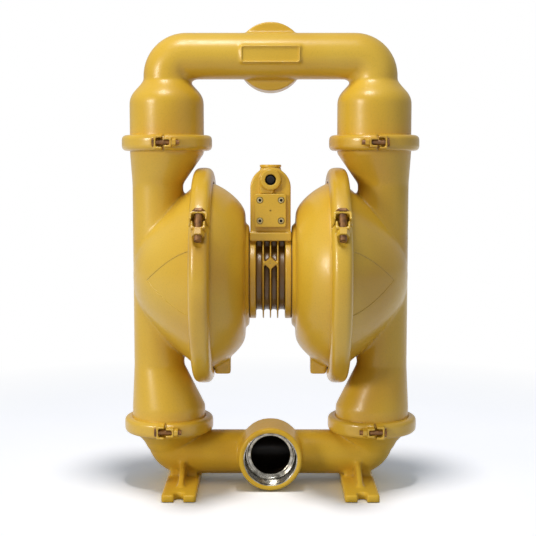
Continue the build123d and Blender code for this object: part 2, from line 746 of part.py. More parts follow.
def diaphragm():
    """Moulded rubber disc with one rolling fold and a clamped rim."""
    outer_x, inner_x = seat_face_x, seat_face_x - diaphragm_thick
    fold_in, fold_out = piston_r + piston_seat_in, grip_r
    middle = (fold_in + fold_out) / 2
    with BuildSketch() as section:
        with BuildLine():
            Polyline((outer_x, fold_in), (outer_x, stud_r), (inner_x, stud_r), (inner_x, fold_in))
            Spline((inner_x, fold_in), (inner_x + fold_height, middle), (inner_x, fold_out),
                   tangents=((0, 1), (0, 1)))
            Polyline((inner_x, fold_out), (inner_x, bead_r), (outer_x, bead_r), (outer_x, fold_out))
            Spline((outer_x, fold_out), (outer_x + fold_height, middle), (outer_x, fold_in),
                   tangents=((0, -1), (0, -1)))
        make_face()
    return turned_x(section.sketch)


def shaft_bushing():
    inside = block_half - bush_length
    ring = cylinder(bush_r, (inside, 0, shaft_z), (block_half, 0, shaft_z))
    ring -= cylinder(shaft_r + run, (inside - 1, 0, shaft_z), (block_half + 1, 0, shaft_z))
    return ring - shaft_seal_blank(0)


def shaft_seal_blank(play):
    """Rubber ring let into the outer end of a bushing."""
    end_x = block_half - shaft_seal_in
    ring_r = shaft_r + shaft_seal_thick + play
    ring = cylinder(ring_r, (end_x - shaft_seal_w - play, 0, shaft_z), (end_x + play, 0, shaft_z))
    return ring - cylinder(shaft_r + run, (0, 0, shaft_z), (block_half + 1, 0, shaft_z))


def centre_gasket():
    ring = cylinder(block_r - centre_gasket_in, (block_half, 0, shaft_z), (block_half + gasket_thick, 0, shaft_z))
    ring -= cylinder(bush_r + shaft_seal_w, (0, 0, shaft_z), (block_half + 5, 0, shaft_z))
    for y, z in screw_places():
        ring -= cylinder(chamber_screw_r + loose, (0, y, z), (block_half + 5, y, z))
    return ring


def air_chamber_screws():
    seat_x = block_half + hub_thick + wall
    screw = socket_screw(chamber_screw_r, chamber_head_r, chamber_head_h, chamber_screw_length)
    return [Plane((seat_x, y, z), z_dir=(1, 0, 0)) * screw for y, z in screw_places()]


# ---- valve seats and balls, +X side ----

def valve_seat(joint_z):
    half = seat_height / 2
    ring = turned_z([(seat_bore_r, -half), (seat_r, -half), (seat_r, half), (seat_bore_r, half)], column_x, joint_z)
    ring -= Pos(column_x, 0, joint_z + ball_seat_z) * Sphere(ball_r + loose)
    return ring - seat_ring(joint_z, fit, seat_r + 1)


def seat_ring(joint_z, play, outer_r):
    """Ring round the rim of a seat at the joint; play widens it into its groove."""
    half = seal_r + play
    inner_r = seat_r - 2 * seal_r - play
    return turned_z([(inner_r, -half), (outer_r, -half), (outer_r, half), (inner_r, half)], column_x, joint_z)


def seat_seal(joint_z):
    return seat_ring(joint_z, 0, seat_r)


def ball(joint_z):
    return Pos(column_x, 0, joint_z + ball_seat_z) * Sphere(ball_r)


# ---- clamp bands ----

class Closure:
    """Sizes of one bolted closure on a band of radius band_r."""

    def __init__(self, band_r, core_r, bolt_r, width, length, wall_thick, proud, sink):
        self.band_r = band_r
        self.core_r = core_r
        self.bolt_r = bolt_r
        self.width = width
        self.length = length
        self.wall = wall_thick
        self.axis_r = band_r + proud
        self.top_r = self.axis_r + bolt_r + 2
        self.floor_r = band_r - sink
        self.nut_r = bolt_r * 1.82
        self.nut_h = bolt_r * 1.75
        self.gap = 3.0              # between the two halves
        self.step = 3.0             # the nut's side is narrower by this on each edge
        self.cover = 4.0            # lug sunk into the band
        self.reach = 14.0           # clear length past the nut for a socket


large_closure = Closure(large_band_r, rim_flange_r + fit, 6.0, 30.0, 32.0, 4.0, 4.0, 9.0)
small_closure = Closure(small_band_r, joint_flange_r + fit, 4.0, 22.0, 30.0, 3.5, 2.5, 5.0)


def band_section(inner_r, groove_r, outer_r, half, root, lip, depth):
    """V-groove band section as (radius, height); root and lip are half the groove's width."""
    with BuildSketch(Plane.XZ) as section:
        with BuildLine():
            shoulder = inner_r + depth
            Polyline((shoulder, half), (inner_r, half), (inner_r, root), (groove_r, lip), (groove_r, -lip),
                     (inner_r, -root), (inner_r, -half), (shoulder, -half))
            Spline((shoulder, -half), (outer_r, 0), (shoulder, half), tangents=((1, 0), (-1, 0)))
        make_face()
    return section.sketch


def band_half(section, c, side):
    """One half of a band about local Z with a lug box at each end; side is the half's local Y."""
    ring = revolve(section, Axis.Z)
    big = 4 * c.band_r
    near = side * c.gap / 2
    half = ring & block(-big, big, *sorted((near, side * big)), -big, big)
    core = Cylinder(c.core_r, 4 * c.band_r)
    for end in (-1, 1):
        outer_y = side * c.length / 2
        x_in, x_out = end * (c.core_r - c.cover), end * c.top_r
        w = c.width / 2 - (c.step if side * end > 0 else 0)
        box = block(*sorted((x_in, x_out)), *sorted((near, outer_y)), -w, w)
        pocket = block(*sorted((end * c.floor_r, end * (c.top_r + 1))),
                       *sorted((near - side, outer_y - side * c.wall)), -w + c.wall, w - c.wall)
        half += box - core
        half -= pocket
        reach = side * (c.length / 2 + c.nut_h + c.reach)
        if side * end > 0:
            half -= cylinder(c.nut_r + 0.6, (end * c.axis_r, outer_y, 0), (end * c.axis_r, reach, 0))
        else:
            half -= cylinder(c.nut_r + 0.6, (end * c.axis_r, outer_y, 0),
                             (end * c.axis_r, outer_y + side * c.bolt_r, 0))
        half -= cylinder(c.bolt_r + loose, (end * c.axis_r, 0, 0), (end * c.axis_r, reach, 0))
    return half


def closure_bolt(c, end):
    """Hexagon bolt of the closure at local x = end, its nut side at local y = end."""
    x = end * c.axis_r
    head_y = -end * c.length / 2
    tip_y = end * (c.length / 2 + c.nut_h + c.bolt_r * 1.4)
    shank = cylinder(c.bolt_r, (x, head_y, 0), (x, tip_y, 0))
    at = Plane((x, head_y, 0), x_dir=(0, 0, 1), z_dir=(0, -end, 0))
    return shank + extrude(at * RegularPolygon(c.nut_r, 6), c.bolt_r * 0.8)


def closure_nut(c, end):
    at = Plane((end * c.axis_r, end * c.length / 2, 0), x_dir=(0, 0, 1), z_dir=(0, end, 0))
    nut = extrude(at * RegularPolygon(c.nut_r, 6), c.nut_h)
    return nut - cylinder(c.bolt_r, (end * c.axis_r, 0, 0), (end * c.axis_r, end * 2 * c.length, 0))


def large_clamp_plane():
    a = math.radians(large_closure_deg)
    return Plane((diaphragm_x, 0, shaft_z), x_dir=(0, -math.cos(a), math.sin(a)), z_dir=(1, 0, 0))


def small_clamp_plane(z):
    return Plane((column_x, 0, z), x_dir=(0, -1, 0), z_dir=(0, 0, -1))


def save_clamps(name, place, section, c, mirrored_names):
    """Write the two halves of a clamp on each side, and return its bolts and nuts."""
    bolts, nuts = [], []
    for side, half_name in ((1, mirrored_names[0]), (-1, mirrored_names[1])):
        half = place * band_half(section, c, side)
        save(f"{name}_right_{half_name}", half)
        save(f"{name}_left_{half_name}", mirror_x(half))
    for end in (-1, 1):
        bolt, nut = place * closure_bolt(c, end), place * closure_nut(c, end)
        bolts += [bolt, mirror_x(bolt)]
        nuts += [nut, mirror_x(nut)]
    return bolts, nuts


def build_all():
    save("outlet_manifold", outlet_manifold())
    save("inlet_manifold", inlet_manifold())
    save("centre_block", centre_block())
    save("valve_cover_plate", valve_cover_plate())
    save("valve_cover_gasket", valve_cover_gasket())
    save("valve_cover_screws", *valve_cover_screws())
    save("valve_cap", valve_cap())
    save("valve_sleeve", valve_sleeve())
    save("valve_spool", valve_spool())
    save("exhaust_muffler", exhaust_muffler())
    save("shaft", shaft())

    pairs = {"liquid_chamber": liquid_chamber(), "air_chamber": air_chamber(), "inner_piston": inner_piston(),
             "outer_piston": outer_piston(), "diaphragm": diaphragm(), "shaft_bushing": shaft_bushing(),
             "centre_gasket": centre_gasket()}
    for name, shape in pairs.items():
        save(f"{name}_right", shape)
        save(f"{name}_left", mirror_x(shape))
    seal = shaft_seal_blank(-fit)
    save("shaft_seals", seal, mirror_x(seal))
    screws = air_chamber_screws()
    save("air_chamber_screws_right", *screws)
    save("air_chamber_screws_left", *[mirror_x(s) for s in screws])

    seals = []
    for level, z in (("inlet", lower_joint_z), ("outlet", upper_joint_z)):
        save(f"{level}_seat_right", valve_seat(z))
        save(f"{level}_seat_left", mirror_x(valve_seat(z)))
        save(f"{level}_ball_right", ball(z))
        save(f"{level}_ball_left", mirror_x(ball(z)))
        seals += [seat_seal(z), mirror_x(seat_seal(z))]
    save("seat_seals", *seals)

    large = band_section(rim_root_r, rim_flange_r + fit, large_band_r, large_band_half, rim_root + fit,
                         rim_lip + fit, 5)
    bolts, nuts = save_clamps("large_clamp", large_clamp_plane(), large, large_closure, ("lower", "upper"))
    save("large_clamp_bolts", *bolts)
    save("large_clamp_nuts", *nuts)

    small = band_section(housing_r + loose, joint_flange_r + fit, small_band_r, small_band_half,
                         joint_root + fit, joint_lip + fit, 3)
    bolts, nuts = [], []
    for level, z in (("inlet", lower_joint_z), ("outlet", upper_joint_z)):
        more_bolts, more_nuts = save_clamps(f"{level}_clamp", small_clamp_plane(z), small, small_closure,
                                            ("inner", "outer"))
        bolts += more_bolts
        nuts += more_nuts
    save("small_clamp_bolts", *bolts)
    save("small_clamp_nuts", *nuts)


build_all()
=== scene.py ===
import bpy
import json
import math
import numpy as np
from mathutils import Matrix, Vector


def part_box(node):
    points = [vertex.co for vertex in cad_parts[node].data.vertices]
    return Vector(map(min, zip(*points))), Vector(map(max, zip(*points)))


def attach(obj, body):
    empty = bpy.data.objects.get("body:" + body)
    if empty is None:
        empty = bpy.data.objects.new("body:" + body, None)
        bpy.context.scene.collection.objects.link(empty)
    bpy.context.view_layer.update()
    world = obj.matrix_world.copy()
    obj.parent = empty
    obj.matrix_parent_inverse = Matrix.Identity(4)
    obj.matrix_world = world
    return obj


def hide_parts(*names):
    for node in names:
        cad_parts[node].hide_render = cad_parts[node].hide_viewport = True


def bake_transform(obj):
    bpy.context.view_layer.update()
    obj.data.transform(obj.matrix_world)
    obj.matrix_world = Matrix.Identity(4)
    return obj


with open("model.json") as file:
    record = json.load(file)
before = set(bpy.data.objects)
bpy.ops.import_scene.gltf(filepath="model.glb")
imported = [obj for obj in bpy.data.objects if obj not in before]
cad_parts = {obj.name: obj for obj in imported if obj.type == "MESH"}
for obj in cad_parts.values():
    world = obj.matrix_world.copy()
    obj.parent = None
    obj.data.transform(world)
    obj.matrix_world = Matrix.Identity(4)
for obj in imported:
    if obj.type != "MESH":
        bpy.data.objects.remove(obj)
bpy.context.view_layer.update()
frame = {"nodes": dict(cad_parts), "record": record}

nodes = frame["nodes"]
mounts = {m["name"]: m["pos_m"] for m in frame["record"]["mounts"]}
sides = ("left", "right")
mm = 0.001
inletAxis = mounts["inlet_port"]
outletAxis = mounts["outlet_port"]
airAxis = mounts["air_inlet_port"]
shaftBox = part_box("shaft")
shaftPlace = [0.0, 0.0, (shaftBox[0].z + shaftBox[1].z) / 2]
inletPipe = [0.0, 0.0, inletAxis[2] - 5 * mm]   # the boss sits 5 mm above the pipe it opens into
outletPipe = [0.0, 0.0, outletAxis[2]]
print("frame loaded:", len(nodes), "nodes")


def linearColour(hexCode):
    # sRGB byte to linear: a straight toe, then a power of 2.4
    parts = [int(hexCode[i:i + 2], 16) / 255 for i in (1, 3, 5)]
    return [c / 12.92 if c <= 0.04045 else ((c + 0.055) / 1.055) ** 2.4 for c in parts] + [1.0]


def wire(tree, node, inputs):
    # "#rrggbb" is a colour, "name:Socket" is a link from an earlier node, anything else is a plain value
    for key, value in inputs.items():
        if isinstance(value, str) and ":" in value:
            source, socket = value.split(":")
            outputs = tree.nodes[source].outputs
            tree.links.new(outputs[int(socket)] if socket.isdigit() else outputs[socket], node.inputs[key])
        else:
            node.inputs[key].default_value = linearColour(value) if isinstance(value, str) else value


def addNode(tree, name, kind, inputs=None, stops=None, **settings):
    # one named node with its settings and links; stops are (place, hex or grey) of a colour ramp
    node = tree.nodes.new("ShaderNode" + kind)
    node.name = name
    for key, value in settings.items():
        setattr(node, key, value)
    wire(tree, node, inputs or {})
    if stops:
        elements = node.color_ramp.elements
        while len(elements) < len(stops):
            elements.new(0.5)
        for element, (place, tone) in zip(elements, stops):
            element.position = place
            element.color = linearColour(tone) if isinstance(tone, str) else (tone, tone, tone, 1)
    return node


def newMaterial(name):
    material = bpy.data.materials.new(name)
    material.use_nodes = True
    material.node_tree.nodes["Principled BSDF"].name = "shader"
    addNode(material.node_tree, "place", "TexCoord")
    return material, material.node_tree


def addMask(tree, name, axis, centre, radius, band, along, span):
    # 1 inside a cylinder about an axis through centre, fading out over band at its skin, and only where the
    # coordinate `along` lies in span
    keep = [0.0 if i == axis else 1.0 for i in range(3)]
    down = {"To Min": 1.0, "To Max": 0.0}
    addNode(tree, name + "Off", "VectorMath", {0: "place:Object", 1: [-c for c in centre]}, operation="ADD")
    addNode(tree, name + "Flat", "VectorMath", {0: name + "Off:0", 1: keep}, operation="MULTIPLY")
    addNode(tree, name + "R", "VectorMath", {0: name + "Flat:0"}, operation="LENGTH")
    addNode(tree, name + "In", "MapRange",
            {"Value": name + "R:Value", "From Min": radius - band, "From Max": radius, **down})
    addNode(tree, name + "Xyz", "SeparateXYZ", {0: "place:Object"})
    addNode(tree, name + "Low", "MapRange",
            {"Value": f"{name}Xyz:{along}", "From Min": span[0] - mm, "From Max": span[0]})
    addNode(tree, name + "High", "MapRange",
            {"Value": f"{name}Xyz:{along}", "From Min": span[1], "From Max": span[1] + mm, **down})
    addNode(tree, name + "Span", "Math", {0: name + "Low:0", 1: name + "High:0"}, operation="MULTIPLY")
    addNode(tree, name, "Math", {0: name + "In:0", 1: name + "Span:0"}, operation="MULTIPLY")


enamel = {
    "body": "#DAAF31", "sunned": "#E1BA41", "thin": "#CD9E2C", "grime": "#7A4E22", "iron": "#241B12",
    "sizeMm": {"cloud": 130.0, "grain": 2.4, "peel": 6.0, "sag": 40.0},     # of each noise
    "detail": {"cloud": 1.5, "grain": 3.0, "peel": 1.5, "sag": 1.5},
    "coatAt": (0.3, 0.47, 0.75),                    # where the cloud is thin, even and sunned
    "speck": [(0.30, 0.93), (0.5, 1.0)],            # the deepest grain is a little darker
    "hollow": [(0.43, 0.75), (0.487, 0.0)],         # pointiness of a corner to share of painted crease shade
    "roughness": 0.34, "smoother": 0.05, "rougher": 0.06, "peelAt": (0.3, 0.7), "ior": 1.5, "coatRough": 0.12,
    "grainMm": 0.10, "grainBump": 0.5, "peelMm": 0.14, "peelBump": 0.4, "sagMm": 0.8, "sagBump": 0.25,
}
domePanel = {
    "from": 124.8 * mm, "reach": 84.2 * mm, "half": 54 * mm, "power": 1.58, "edge": 0.8 * mm, "stepMm": 1.7,
}


def addPanelLip(tree):
    # crisp edge of the dome's shallow panel: its half height falls from the rim as 1 - t^power, where t runs
    # from 0 at the rim to 1 at the panel's point
    p = domePanel
    addNode(tree, "dome", "SeparateXYZ", {0: "place:Object"})
    addNode(tree, "out", "Math", {0: "dome:X"}, operation="ABSOLUTE")
    addNode(tree, "t", "MapRange",
            {"Value": "out:0", "From Min": p["from"], "From Max": p["from"] + p["reach"]})
    addNode(tree, "curve", "Math", {0: "t:0", 1: p["power"]}, operation="POWER")
    addNode(tree, "half", "MapRange", {"Value": "curve:0", "To Min": p["half"], "To Max": -2 * p["edge"]})
    addNode(tree, "rise", "Math", {0: "dome:Z", 1: shaftPlace[2]}, operation="SUBTRACT")
    addNode(tree, "height", "Math", {0: "rise:0"}, operation="ABSOLUTE")
    addNode(tree, "past", "Math", {0: "height:0", 1: "half:0"}, operation="SUBTRACT")
    addNode(tree, "lip", "MapRange", {"Value": "past:0", "From Min": -p["edge"], "From Max": p["edge"]})
    addNode(tree, "lipBump", "Bump", {"Height": "lip:0", "Distance": p["stepMm"] * mm, "Strength": 1.0,
                                      "Normal": "sagBump:Normal"})


def sprayedEnamel(name, grain=1.0, masks=(), panel=False, coat=0.15, sheen=0.5):
    # alkyd machine enamel sprayed over a shot-blasted casting: an even ochre coat with a low sheen that
    # follows the sand grain under it; hollow corners are coloured darker brown as painted shade
    material, tree = newMaterial(name)
    for key, size in enamel["sizeMm"].items():
        addNode(tree, key, "TexNoise",
                {"Vector": "place:Object", "Scale": 1 / (size * mm), "Detail": enamel["detail"][key]})
    coats = [enamel["thin"], enamel["body"], enamel["sunned"]]
    addNode(tree, "coat", "ValToRGB", {"Fac": "cloud:Fac"}, list(zip(enamel["coatAt"], coats)))
    addNode(tree, "speck", "ValToRGB", {"Fac": "grain:Fac"}, enamel["speck"])
    addNode(tree, "flecked", "Mix", {0: 1.0, 6: "coat:Color", 7: "speck:Color"}, data_type="RGBA",
            blend_type="MULTIPLY")
    addNode(tree, "form", "NewGeometry")
    # painted shade: hollow corners, found by pointiness, are mixed towards a dark brown
    addNode(tree, "crease", "ValToRGB", {"Fac": "form:Pointiness"}, enamel["hollow"])
    addNode(tree, "tone0", "Mix", {0: "crease:Color", 6: "flecked:2", 7: enamel["grime"]}, data_type="RGBA")
    for i, mask in enumerate(masks):
        where = {key: value for key, value in mask.items() if key not in ("tint", "amount")}
        addMask(tree, f"mask{i}", **where)
        addNode(tree, f"mask{i}Part", "Math", {0: f"mask{i}:0", 1: mask["amount"]}, operation="MULTIPLY")
        addNode(tree, f"tone{i + 1}", "Mix", {0: f"mask{i}Part:0", 6: f"tone{i}:2", 7: mask["tint"]},
                data_type="RGBA")
    roughs = (enamel["roughness"] - enamel["smoother"], enamel["roughness"] + enamel["rougher"])
    addNode(tree, "sheen", "ValToRGB", {"Fac": "peel:Fac"}, list(zip(enamel["peelAt"], roughs)))
    for key, under, share in (("grain", None, grain), ("peel", "grain", grain), ("sag", "peel", 1.0)):
        heights = {"Height": key + ":Fac", "Distance": enamel[key + "Mm"] * share * mm,
                   "Strength": enamel[key + "Bump"]}
        if under:
            heights["Normal"] = under + "Bump:Normal"
        addNode(tree, key + "Bump", "Bump", heights)
    if panel:
        addPanelLip(tree)
    wire(tree, tree.nodes["shader"], {
        "Base Color": f"tone{len(masks)}:2", "Roughness": "sheen:Color",
        "Normal": "lipBump:Normal" if panel else "sagBump:Normal", "IOR": enamel["ior"],
        "Specular IOR Level": sheen, "Coat Weight": coat, "Coat Roughness": enamel["coatRough"]})
    return material


metalLook = {"blotMm": 9, "blotAt": (0.36, 0.68), "linesAt": (0.3, 0.7), "smoother": 0.07, "rougher": 0.1,
             "lineDeepMm": 0.05, "lineBump": 0.4, "oil": "#1B1611", "oilFadeMm": 0.2}


def workedMetal(name, shade, stain, rough, lineMm, stretch=(1, 1, 1), metallic=1.0, dark=None):
    # turned, ground or plated metal: fine tool lines across the stretched axis under a faint stain; dark is
    # (coordinate, place) past which the metal is coloured near black as painted shade
    material, tree = newMaterial(name)
    look = metalLook
    addNode(tree, "turned", "Mapping", {"Vector": "place:Object", "Scale": stretch})
    addNode(tree, "lines", "TexNoise", {"Vector": "turned:Vector", "Scale": 1 / (lineMm * mm), "Detail": 2.0})
    addNode(tree, "blot", "TexNoise",
            {"Vector": "place:Object", "Scale": 1 / (look["blotMm"] * mm), "Detail": 3.0})
    addNode(tree, "stain", "ValToRGB", {"Fac": "blot:Fac"}, list(zip(look["blotAt"], (shade, stain))))
    roughs = (rough - look["smoother"], rough + look["rougher"])
    addNode(tree, "sheen", "ValToRGB", {"Fac": "lines:Fac"}, list(zip(look["linesAt"], roughs)))
    addNode(tree, "lineBump", "Bump", {"Height": "lines:Fac", "Distance": look["lineDeepMm"] * mm,
                                       "Strength": look["lineBump"]})
    tone = "stain:Color"
    # painted shade: past the given place along one coordinate the metal is mixed towards near black
    if dark:
        addNode(tree, "xyz", "SeparateXYZ", {0: "place:Object"})
        addNode(tree, "deep", "MapRange", {"Value": "xyz:" + dark[0], "From Min": dark[1],
                                           "From Max": dark[1] + look["oilFadeMm"] * mm})
        addNode(tree, "oiled", "Mix", {0: "deep:0", 6: "stain:Color", 7: look["oil"]}, data_type="RGBA")
        tone = "oiled:2"
    wire(tree, tree.nodes["shader"], {"Base Color": tone, "Roughness": "sheen:Color", "Metallic": metallic,
                                      "Normal": "lineBump:Normal"})
    return material


polymerLook = {"dustMm": 18, "dustAt": (0.35, 0.85), "grainAt": (0.3, 0.7), "smoother": 0.06, "rougher": 0.08,
               "grainDeepMm": 0.06, "grainBump": 0.5}


def mouldedPolymer(name, shade, bloom, rough, ior, grainMm):
    # moulded rubber, plastic or pressed fibre: one deep tone with a dusty bloom and a fine matt grain
    material, tree = newMaterial(name)
    look = polymerLook
    addNode(tree, "dust", "TexNoise",
            {"Vector": "place:Object", "Scale": 1 / (look["dustMm"] * mm), "Detail": 4.0})
    addNode(tree, "grain", "TexNoise", {"Vector": "place:Object", "Scale": 1 / (grainMm * mm), "Detail": 2.0})
    addNode(tree, "tone", "ValToRGB", {"Fac": "dust:Fac"}, list(zip(look["dustAt"], (shade, bloom))))
    roughs = (rough - look["smoother"], rough + look["rougher"])
    addNode(tree, "sheen", "ValToRGB", {"Fac": "grain:Fac"}, list(zip(look["grainAt"], roughs)))
    addNode(tree, "grainBump", "Bump", {"Height": "grain:Fac", "Distance": look["grainDeepMm"] * mm,
                                        "Strength": look["grainBump"]})
    wire(tree, tree.nodes["shader"], {"Base Color": "tone:Color", "Roughness": "sheen:Color", "IOR": ior,
                                      "Normal": "grainBump:Normal"})
    return material


bores = {  # unpainted and shaded places: the radius that they reach, and how softly the paint ends there; the bores are bare iron darkened to near black as painted shade, the fin roots carry painted shade
    "portR": (44.45 + 1.6) * mm, "portBand": 1.2 * mm,
    "pipeR": 35.5 * mm, "pipeBand": 1.5 * mm, "pipeHalf": 0.14,
    "airR": 9.6 * mm, "airBand": 0.6 * mm,
    "finRootR": 72.5 * mm, "finBand": 3 * mm, "finHalf": 0.0245, "finShade": "#6E4A28", "finAmount": 0.85,
    "past": 0.2, "clear": 0.001,
}


def bareShadedBore(axis, centre, fit, along, span):
    # painted shade: the inside of a bore is coloured near black, bare iron darkened further where shade falls
    return {"axis": axis, "centre": centre, "radius": bores[fit + "R"], "band": bores[fit + "Band"],
            "along": along, "span": span, "tint": enamel["iron"], "amount": 1.0}


pipeSpan = (-bores["pipeHalf"], bores["pipeHalf"])
paint = sprayedEnamel("sprayed enamel on sand casting")
domePaint = sprayedEnamel("sprayed enamel, domed casting", panel=True)
inletPaint = sprayedEnamel("sprayed enamel, inlet casting", coat=0.05, sheen=0.2, masks=[
    bareShadedBore(1, inletAxis, "port", "Y", (-bores["past"], -bores["clear"])),
    bareShadedBore(0, inletPipe, "pipe", "X", pipeSpan)])
outletPaint = sprayedEnamel("sprayed enamel, outlet casting", masks=[
    bareShadedBore(1, outletAxis, "port", "Y", (bores["clear"], bores["past"])),
    bareShadedBore(0, outletPipe, "pipe", "X", pipeSpan)])
# painted shade: the groove floors between the centre block's fins are mixed towards dark brown
finGrooveShade = {
    "axis": 0, "centre": shaftPlace, "radius": bores["finRootR"], "band": bores["finBand"],
    "along": "X", "span": (-bores["finHalf"], bores["finHalf"]),
    "tint": bores["finShade"], "amount": bores["finAmount"],
}
blockPaint = sprayedEnamel("sprayed enamel, centre casting", grain=0.7, masks=[
    finGrooveShade, bareShadedBore(1, airAxis, "air", "Y", (-bores["past"], 0.0))])
bandPaint = sprayedEnamel("sprayed enamel on clamp band", grain=0.45, coat=0.4)
platePaint = sprayedEnamel("sprayed enamel on milled plate", grain=0.35)
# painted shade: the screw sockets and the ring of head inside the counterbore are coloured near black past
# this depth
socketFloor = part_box("valve_cover_plate")[0].y + 0.3 * mm
screwSteel = workedMetal("plated socket screws", "#D9C78F", "#B9A066", rough=0.3, lineMm=0.6, metallic=0.5,
                         dark=("Y", socketFloor))
finishes = {
    "paint": paint,
    "fastener_steel": workedMetal("yellow zinc plated steel, oversprayed", "#9A6C3A", "#5E4029", rough=0.45,
                                  lineMm=0.7, metallic=0.3),
    "gasket_fibre": mouldedPolymer("pressed fibre gasket", "#4A4038", "#6A5D50", rough=0.75, ior=1.5,
                                   grainMm=0.8),
    "bronze": workedMetal("cast bronze, bored", "#B98A4E", "#8A6434", rough=0.3, lineMm=0.5,
                          stretch=(1, 1, 8)),
    "aluminium": workedMetal("hard anodised aluminium", "#B8B9BC", "#9C9DA2", rough=0.3, lineMm=0.4,
                             stretch=(1, 1, 8)),
    "muffler_plastic": mouldedPolymer("moulded acetal", "#151517", "#333335", rough=0.42, ior=1.48,
                                      grainMm=1.2),
    "ground_steel": workedMetal("ground steel shaft", "#B9BBC0", "#9EA1A8", rough=0.18, lineMm=0.3,
                                stretch=(8, 1, 1)),
    "piston_steel": workedMetal("turned steel", "#8C8C8E", "#6E6C6A", rough=0.36, lineMm=0.6,
                                stretch=(6, 1, 1)),
    "rubber": mouldedPolymer("moulded nitrile rubber", "#17171A", "#3A3A3A", rough=0.6, ior=1.52,
                             grainMm=0.8),
    "seat_steel": workedMetal("machined stainless steel", "#A9A9AA", "#8D8B88", rough=0.28, lineMm=0.5,
                              stretch=(1, 1, 8)),
}
special = {"valve_cover_screws": screwSteel, "inlet_manifold": inletPaint, "outlet_manifold": outletPaint,
           "centre_block": blockPaint, "valve_cover_plate": platePaint, "valve_cap": platePaint}
special.update({name: bandPaint for name in nodes if "clamp" in name and not name.endswith("bolts")})
special.update({f"liquid_chamber_{side}": domePaint for side in sides})
for part in frame["record"]["subparts"]:
    name = part["node"]
    nodes[name].data.materials.clear()
    nodes[name].data.materials.append(special.get(name, finishes[part["material_slot"]]))
print("finishes made:", len(bpy.data.materials))

castings = {  # voxel in mm, smoothing turns
    "outlet_manifold": (2.3, 9), "inlet_manifold": (2.3, 8), "liquid_chamber": (2.6, 12),
    "air_chamber": (2.6, 8), "large_clamp": (1.65, 6), "inlet_clamp": (1.25, 7), "outlet_clamp": (1.25, 7),
    "centre_block": (1.45, 2),
}
machined = ("valve_cover_plate", "valve_cap", "large_clamp_nuts", "large_clamp_bolts", "small_clamp_nuts",
            "small_clamp_bolts", "exhaust_muffler")
easing = {"widthMm": 0.6, "segments": 2, "sharperThanDeg": 40}
weldMm = 0.005
relaxShare = 0.5


def addWeld(node):
    weld = node.modifiers.new("weld", "WELD")
    weld.merge_threshold = weldMm * mm


def softenCasting(node, voxelMm, turns):
    # a sand casting has no sharp edge: the surface is rebuilt on a fine grid and relaxed a few times
    addWeld(node)
    remesh = node.modifiers.new("castSkin", "REMESH")
    remesh.mode = "VOXEL"
    remesh.voxel_size = voxelMm * mm
    remesh.use_smooth_shade = True
    relax = node.modifiers.new("relax", "SMOOTH")
    relax.factor = relaxShare
    relax.iterations = turns


def easeEdges(node):
    # a machined piece keeps a small broken edge that catches the light
    addWeld(node)
    ease = node.modifiers.new("ease", "BEVEL")
    ease.width = easing["widthMm"] * mm
    ease.segments = easing["segments"]
    ease.limit_method = "ANGLE"
    ease.angle_limit = math.radians(easing["sharperThanDeg"])
    ease.use_clamp_overlap = True


for name, node in nodes.items():
    kind = next((k for k in castings if name.startswith(k) and not name.endswith(("bolts", "nuts"))), None)
    if kind:
        softenCasting(node, *castings[kind])
for name in machined:
    easeEdges(nodes[name])
print("castings softened")


def signedVolume(points, faces):
    # sum of tetrahedra from the origin to each half face; negative means inside out
    a, b, c, d = (points[faces[:, i]] for i in range(4))
    return float((np.cross(a, b) * c).sum() + (np.cross(a, c) * d).sum())


def gridPiece(name, points, finish, body="housing"):
    # closed skin from a (rows, columns, 3) array of points that joins up in both directions
    rows, columns = points.shape[:2]
    index = np.arange(rows * columns).reshape(rows, columns)
    right, down = np.roll(index, -1, 1), np.roll(index, -1, 0)
    faces = np.stack([index, right, np.roll(right, -1, 0), down], -1).reshape(-1, 4)
    if signedVolume(points.reshape(-1, 3), faces) < 0:
        faces = faces[:, ::-1]
    mesh = bpy.data.meshes.new(name)
    mesh.from_pydata(points.reshape(-1, 3).tolist(), [], faces.tolist())
    mesh.polygons.foreach_set("use_smooth", np.ones(len(faces), bool))
    mesh.materials.append(finish)
    piece = bpy.data.objects.new(name, mesh)
    bpy.context.scene.collection.objects.link(piece)
    if body:
        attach(piece, body)
    return piece


threads = {
    "crestR": 43.9, "depth": 1.5, "pitch": 3.175, "taper": 1 / 16, "length": 32.0, "innerR": 33.4,
    "outerR": 47.0, "mouth": 2.0, "runOut": 3.0, "faceY": 78.0, "turnSteps": 160, "pitchSteps": 8,
    # (radius, step from it, depth in from the face)
    "lip": [("outerR", 0.0, 3.0), ("outerR", -0.2, 1.3), ("crestR", 1.2, 1.0), ("crestR", 0.5, 1.2)],
    # (radius, step from it, depth past the thread's length)
    "shoulder": [("endR", -0.4, -2.6), ("endR", -2.2, -2.3), ("endR", -2.5, -1.4), ("endR", -4.3, -1.1),
                 ("innerR", 1.3, -0.2), ("innerR", 0.0, 0.8), ("innerR", 0.0, 6.0), ("innerR", 2.0, 6.0),
                 ("outerR", 0.0, 3.0)],
}


